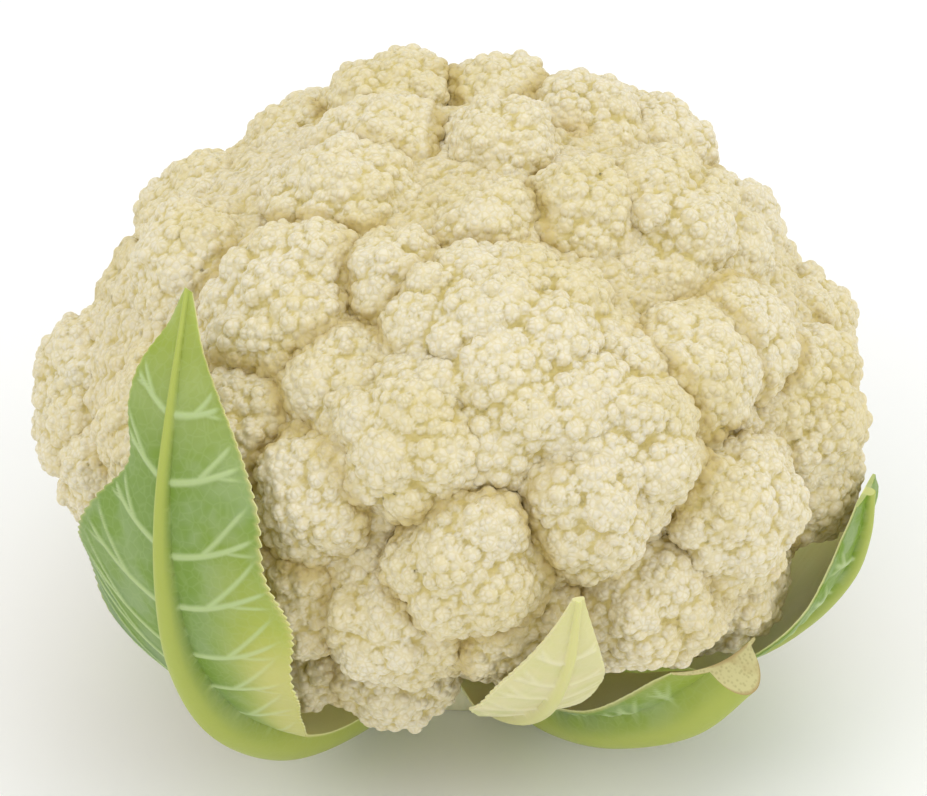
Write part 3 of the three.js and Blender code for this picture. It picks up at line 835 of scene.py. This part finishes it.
def leaf_fields(leaf, settings):
    """The leaf's outer and inner face as grids of points, and the numbers painted on them."""
    stations, half_columns = leaf["grid"]
    rng = np.random.default_rng(SEED + stations)
    u = np.linspace(0, 1, stations + 1)
    spread_out = np.linspace(-1, 1, 2 * half_columns + 1)
    t = (np.sign(spread_out) * np.abs(spread_out) ** COLUMN_CROWDING)[None]
    centre, sideways, outward, length = leaf_spine(leaf, u)
    rib_width = catmull_rom(leaf["rib_width"], u)[:, None]
    rib_depth = catmull_rom(leaf["rib_depth"], u)[:, None]
    widths = [catmull_rom(leaf[side], u) for side in ("clockwise", "anticlockwise")]
    widths[0] *= 1 - leaf.get("notch", 0) * np.exp(-((u - NOTCH_PLACE) / NOTCH_WIDTH) ** 2)
    teeth = [1 + leaf.get("teeth", 1) * toothed(u, length, rng) for _ in widths]
    even_half = np.where(t < 0, widths[0][:, None], widths[1][:, None])
    half = even_half * np.where(t < 0, teeth[0][:, None], teeth[1][:, None])
    distance = t * np.maximum(half, rib_width + RIB_BORDER)
    beside_rib = np.abs(distance) / rib_width
    u = u[:, None]
    vein = vein_mask(u, distance / even_half, even_half, length, leaf["veins"], rng)
    vein *= smoothstep(0.8, 1.2, beside_rib)
    free = smoothstep(0.25, 0.5, u) * (1 - smoothstep(0.93, 1, u))
    phase = u * length / RUFFLE_STEP + RUFFLE_LAG * t + rng.uniform(0, 6)
    wave = leaf["ruffle"] * free * np.abs(t) ** 2 * np.sin(phase)
    bulge = rib_depth * np.sqrt(1 - np.minimum(beside_rib, 1) ** 2)
    blade = MARGIN_THICKNESS + (settings.blade_thickness / MM - MARGIN_THICKNESS) * (1 - np.abs(t) ** 3)
    raised = VEIN_HEIGHT * vein * free
    wrap_radius = leaf.get("wrap_radius", WRAP_RADIUS)
    wrapped = distance / wrap_radius
    middle = (centre[:, None] + sideways[:, None] * (wrap_radius * np.sin(wrapped))[..., None]
              + outward[:, None] * (wave - wrap_radius * (1 - np.cos(wrapped)))[..., None])
    outer = middle + outward[:, None] * (blade / 2 + bulge + raised)[..., None]
    inner = middle - outward[:, None] * (blade / 2 - 0.25 * raised)[..., None]
    return outer, inner, leaf_tints(leaf["fresh"], u, t, beside_rib, vein, free)


def leaf_tints(fresh, u, t, beside_rib, vein, free):
    """The numbers painted on a leaf, by the share u along its spine and t from margin to margin."""
    edge = 0.6 * smoothstep(0.96, 1.0, np.abs(t)) * free
    low_right = smoothstep(0.45, 0.9, t) * smoothstep(0.2, 0.3, u) * (1 - smoothstep(0.52, 0.62, u))
    base = 1 - smoothstep(0.2, 0.42, u)
    # The right side of the blade is painted lighter, as painted light.
    lit_right_side = smoothstep(0.2, 0.85, t) * (1 - smoothstep(0.55, 0.8, u))
    tip = max(1.3 - fresh, 0) * smoothstep(0.72, 1, u)
    left_lobe = smoothstep(0.15, 0.7, -t) * smoothstep(0.28, 0.4, u) * (1 - smoothstep(0.5, 0.62, u))
    return dict(
        vein=vein,
        rib=1 - smoothstep(0.7, 1.15, beside_rib) * smoothstep(0.1, 0.3, u),
        margin=np.maximum(edge, 0.75 * low_right) * max(1 - fresh / 2, 0),
        # Paler at the base and the tip as the leaf's own colour, and painted light on the right side.
        fade=0.9 * np.maximum(base, np.maximum(lit_right_side, tip)),
        fresh=np.full(vein.shape, fresh),
        # Painted shade on the lower left lobe of the blade.
        shade=0.85 * left_lobe)


def quads_between(first, second):
    """Faces between two rows of points, seen from the side that they face."""
    return np.stack([first[:-1], first[1:], second[1:], second[:-1]], axis=1)


def leaf_mesh(name, outer, inner, fields):
    """One closed leaf from its two faces, with a flat cut across its end as a second material."""
    stations, columns = outer.shape[:2]
    rows = len(END_ROWS)
    end_points = [outer[-1] + (inner[-1] - outer[-1]) * share for share in END_ROWS]
    points = np.concatenate([outer.reshape(-1, 3), inner.reshape(-1, 3), *end_points])
    front = np.arange(stations * columns).reshape(stations, columns)
    back = front + front.size
    end = [front[-1], *(2 * front.size + np.arange(rows * columns).reshape(rows, columns)), back[-1]]
    faces = []
    for k in range(stations - 1):
        faces += [quads_between(front[k], front[k + 1]), quads_between(back[k], back[k + 1])[:, ::-1]]
    faces += [quads_between(back[:, 0], front[:, 0]), quads_between(front[:, -1], back[:, -1]),
              quads_between(back[0], front[0])]
    sides = sum(len(part) for part in faces)
    faces = np.concatenate([*faces, *(quads_between(first, second) for first, second in zip(end, end[1:]))])
    piece = new_piece(name, points, faces)
    for key, field in fields.items():
        paint(piece, key, np.concatenate([field.ravel(), field.ravel(), np.tile(field[-1], rows)]))
    # Marks the face towards the head, which gets a paler colour and painted light.
    paint(piece, "inner", np.repeat([0, 1, 0.5], [front.size, back.size, rows * columns]))
    paint(piece, "rim", np.repeat([1, 0], [2 * front.size, rows * columns]))
    piece.data.polygons.foreach_set("material_index", (np.arange(len(faces)) >= sides).astype(np.int32))
    activate(piece)
    bpy.ops.object.mode_set(mode="EDIT")
    bpy.ops.mesh.select_all(action="SELECT")
    bpy.ops.mesh.normals_make_consistent(inside=False)
    bpy.ops.object.mode_set(mode="OBJECT")
    bpy.ops.object.shade_smooth_by_angle(angle=math.radians(60))
    return piece


def build_leaves(names, finish, cut, settings):
    """A piece for each leaf named, with its finish and the finish of its cut end."""
    for name in names:
        piece = leaf_mesh(f"{name}_blade", *leaf_fields(LEAVES[name], settings))
        piece.data.materials.append(finish)
        piece.data.materials.append(cut)
        hand_over(piece, name)


# The stage

def build_stage(settings):
    """A pale floor, soft studio lights and the camera."""
    scene = bpy.context.scene
    scene.view_settings.view_transform = "Standard"
    deselect()
    bpy.ops.mesh.primitive_plane_add(size=FLOOR_WIDTH)
    floor = bpy.context.object
    floor.name = "studio_floor"
    material, _, shader = new_material("matt studio paper")
    shader.inputs["Base Color"].default_value = linear(settings.floor_colour)
    shader.inputs["Roughness"].default_value = 0.9
    floor.data.materials.append(material)
    world = bpy.data.worlds.new("studio")
    world.use_nodes = True
    background = world.node_tree.nodes["Background"]
    background.inputs["Color"].default_value = linear("#ffffff")
    background.inputs["Strength"].default_value = settings.fill_strength
    scene.world = world
    for name, (place, width, power) in SOFTBOXES.items():
        bpy.ops.object.light_add(type="AREA", location=place)
        lamp = bpy.context.object
        lamp.name = name
        lamp.data.size = width
        lamp.data.energy = getattr(settings, power)
        lamp.rotation_euler = (LIT_POINT - Vector(place)).to_track_quat("-Z", "Y").to_euler()
    target = Vector(settings.camera_target)
    back = Vector((0, -math.cos(settings.camera_elevation), math.sin(settings.camera_elevation)))
    bpy.ops.object.camera_add(location=target + back * settings.camera_distance)
    camera = bpy.context.object
    camera.rotation_euler = (-back).to_track_quat("-Z", "Y").to_euler()
    camera.data.sensor_width = SENSOR_WIDTH
    camera.data.lens = settings.lens
    scene.camera = camera


# Settings, operators and panel

def colour_property(name, default, description):
    """A colour as a hex sRGB value."""
    return bpy.props.StringProperty(name=name, default=default, description=description)


class CurdSettings(bpy.types.PropertyGroup):
    """Sizes and colours of the head."""
    bud_width: bpy.props.FloatProperty(
        name="Bud width", default=1.5 * MM, unit="LENGTH", description="Across one flower bud on a knob")
    skin_step: bpy.props.FloatProperty(
        name="Skin step", default=0.55 * MM, unit="LENGTH", description="Mesh size of the skin over the buds")
    bud_colour: colour_property("Bud", "#e6dec5", "Tops of the buds")
    warm_colour: colour_property("Warm patches", "#e0d5b0", "Patches that have seen more sun")
    # Painted shade in the hollows between buds and lobes, and along the seams between buds
    hollow_shade_colour: colour_property("Hollows", "#cab869", "Between buds and lobes")
    # Painted shade in the creases between florets
    crease_shade_colour: colour_property("Creases", "#bea658", "Deep creases between florets")
    blot_colour: colour_property("Blots", "#d6bf88", "Tan blots on the lobes")


class LeafSettings(bpy.types.PropertyGroup):
    """Thickness and colours of the leaves."""
    blade_thickness: bpy.props.FloatProperty(
        name="Blade thickness", default=1.2 * MM, unit="LENGTH",
        description="Thickness of a blade beside its rib")
    blade_colour: colour_property("Blade", "#7a9549", "Green of the blade")
    bloom_colour: colour_property("Bloom", "#8aa166", "Greyish waxy bloom")
    shaded_lobe_colour: colour_property("Deep green", "#68854f", "Shaded lobes")
    fresh_colour: colour_property("Fresh green", "#6f8f1c", "Patches without bloom")
    # Paler green at the base and the tip, and painted light on the blade's right side
    fade_and_light_colour: colour_property("Faded green", "#b0b84e", "Towards the rib and the base")
    vein_colour: colour_property("Veins", "#b4c68c", "Side veins and net")
    margin_colour: colour_property("Margin", "#d2c886", "Thin edge of the blade")
    rib_colour: colour_property("Rib", "#a9b456", "Midrib and stalk")
    # Partly the inner face's own paler colour, partly painted light in the shade of the head
    inner_pale_and_lit_colour: colour_property("Inner face", "#e6e6a8", "Face towards the head")


class SmallLeafSettings(bpy.types.PropertyGroup):
    """Thickness and colours of the small inner leaf."""
    blade_thickness: bpy.props.FloatProperty(
        name="Blade thickness", default=1.0 * MM, unit="LENGTH",
        description="Thickness of the blade beside its rib")
    blade_colour: colour_property("Blade", "#d8d29c", "Pale blade")
    bloom_colour: colour_property("Bloom", "#ddd6ab", "Palest patches")
    # Painted shade on the lower left lobe
    shaded_lobe_colour: colour_property("Deep green", "#c9ca88", "Greener side")
    fresh_colour: colour_property("Fresh green", "#c3c97a", "Patches without bloom")
    # Paler green at the base and the tip, and painted light on the blade's right side
    fade_and_light_colour: colour_property("Faded green", "#d2cf8e", "Towards the rib and the base")
    vein_colour: colour_property("Veins", "#e2ddb3", "Side veins and net")
    margin_colour: colour_property("Margin", "#e2dcb2", "Thin edge of the blade")
    rib_colour: colour_property("Rib", "#d3d08d", "Midrib")
    # Partly the inner face's own paler colour, partly painted light in the shade of the head
    inner_pale_and_lit_colour: colour_property("Inner face", "#e3dfae", "Face towards the head")


class StalkSettings(bpy.types.PropertyGroup):
    """Colours of the stem, the branches and the cut faces."""
    stalk_colour: colour_property("Stalk", "#cfd39a", "Green of the stalk's skin")
    stalk_light: colour_property("Stalk light", "#e6e2bd", "Creamy patches")
    pith_colour: colour_property("Pith", "#cdc78e", "Cut face")
    strand_colour: colour_property("Strands", "#b9b27a", "Ends of the strands in a cut face")
    dried_colour: colour_property("Dried skin", "#a98f55", "Dried rim of a cut face")


class StageSettings(bpy.types.PropertyGroup):
    """Camera, floor and lights."""
    camera_target: bpy.props.FloatVectorProperty(
        name="Target", default=(0.0018, 0, 0.0677), subtype="TRANSLATION",
        description="Point that the camera looks at")
    camera_distance: bpy.props.FloatProperty(
        name="Distance", default=0.8, unit="LENGTH", description="From the camera to its target")
    camera_elevation: bpy.props.FloatProperty(
        name="Elevation", default=math.radians(35), subtype="ANGLE", description="Angle of view above level")
    lens: bpy.props.FloatProperty(name="Lens", default=145.7, description="Focal length in millimetres")
    floor_colour: colour_property("Floor", "#f7f7f6", "Studio paper")
    fill_strength: bpy.props.FloatProperty(name="Fill", default=0.88, description="Light from all round")
    key_power: bpy.props.FloatProperty(
        name="Key", default=3.8, unit="POWER", description="Softbox at the front left")
    top_power: bpy.props.FloatProperty(name="Top", default=4.5, unit="POWER", description="Softbox overhead")
    side_power: bpy.props.FloatProperty(
        name="Side", default=3.2, unit="POWER", description="Softbox at the right")


class CAULIFLOWER_OT_stage(bpy.types.Operator):
    """Sets the floor, the lights and the camera"""
    bl_idname = "cauliflower.stage"
    bl_label = "Stage"

    def execute(self, context):
        build_stage(context.scene.cauliflower_stage)
        return {"FINISHED"}


class CAULIFLOWER_OT_stem(bpy.types.Operator):
    """Models the cut stem"""
    bl_idname = "cauliflower.stem"
    bl_label = "Stem"

    def execute(self, context):
        build_stem(context.scene.cauliflower_stalk)
        return {"FINISHED"}


class CAULIFLOWER_OT_core(bpy.types.Operator):
    """Models the branching inside of the head"""
    bl_idname = "cauliflower.core"
    bl_label = "Core"

    def execute(self, context):
        build_core(context.scene.cauliflower_stalk, context.scene.cauliflower_curd)
        return {"FINISHED"}


class CAULIFLOWER_OT_florets(bpy.types.Operator):
    """Grows the florets bud by bud"""
    bl_idname = "cauliflower.florets"
    bl_label = "Florets"

    def execute(self, context):
        grow_florets(context.scene.cauliflower_curd)
        return {"FINISHED"}


class CAULIFLOWER_OT_leaves(bpy.types.Operator):
    """Models the whole and the cut wrapper leaves"""
    bl_idname = "cauliflower.leaves"
    bl_label = "Wrapper leaves"

    def execute(self, context):
        settings = context.scene.cauliflower_leaf
        finish = leaf_material("waxy brassica leaf", settings)
        cut = shared(cut_material, CUT_FINISH, context.scene.cauliflower_stalk)
        build_leaves(WHOLE_LEAVES, finish, finish, settings)
        build_leaves(CUT_LEAVES, finish, cut, settings)
        return {"FINISHED"}


class CAULIFLOWER_OT_small_leaf(bpy.types.Operator):
    """Models the small pale inner leaf"""
    bl_idname = "cauliflower.small_leaf"
    bl_label = "Small inner leaf"

    def execute(self, context):
        settings = context.scene.cauliflower_small_leaf
        finish = leaf_material("pale inner leaf", settings)
        build_leaves(SMALL_LEAVES, finish, finish, settings)
        return {"FINISHED"}


class CAULIFLOWER_PT_panel(bpy.types.Panel):
    """Lists the pieces of the cauliflower"""
    bl_idname = "CAULIFLOWER_PT_panel"
    bl_label = "Cauliflower"
    bl_space_type = "VIEW_3D"
    bl_region_type = "UI"
    bl_category = "Cauliflower"

    def draw(self, context):
        for operator in OPERATORS:
            self.layout.operator(operator.bl_idname)


SETTINGS = {
    "cauliflower_curd": CurdSettings,
    "cauliflower_leaf": LeafSettings,
    "cauliflower_small_leaf": SmallLeafSettings,
    "cauliflower_stalk": StalkSettings,
    "cauliflower_stage": StageSettings,
}
OPERATORS = (CAULIFLOWER_OT_stage, CAULIFLOWER_OT_stem, CAULIFLOWER_OT_core, CAULIFLOWER_OT_florets,
             CAULIFLOWER_OT_leaves, CAULIFLOWER_OT_small_leaf)


def register():
    """Registers the settings, operators and panel."""
    for name, group in SETTINGS.items():
        bpy.utils.register_class(group)
        setattr(bpy.types.Scene, name, bpy.props.PointerProperty(type=group))
    for cls in (*OPERATORS, CAULIFLOWER_PT_panel):
        bpy.utils.register_class(cls)


def unregister():
    """Removes what register added."""
    for cls in (CAULIFLOWER_PT_panel, *reversed(OPERATORS)):
        bpy.utils.unregister_class(cls)
    for name, group in SETTINGS.items():
        delattr(bpy.types.Scene, name)
        bpy.utils.unregister_class(group)


def main():
    """Makes the whole cauliflower."""
    register()
    bpy.ops.cauliflower.stage()
    bpy.ops.cauliflower.stem()
    bpy.ops.cauliflower.core()
    bpy.ops.cauliflower.florets()
    bpy.ops.cauliflower.leaves()
    bpy.ops.cauliflower.small_leaf()


if __name__ == "__main__":
    main()
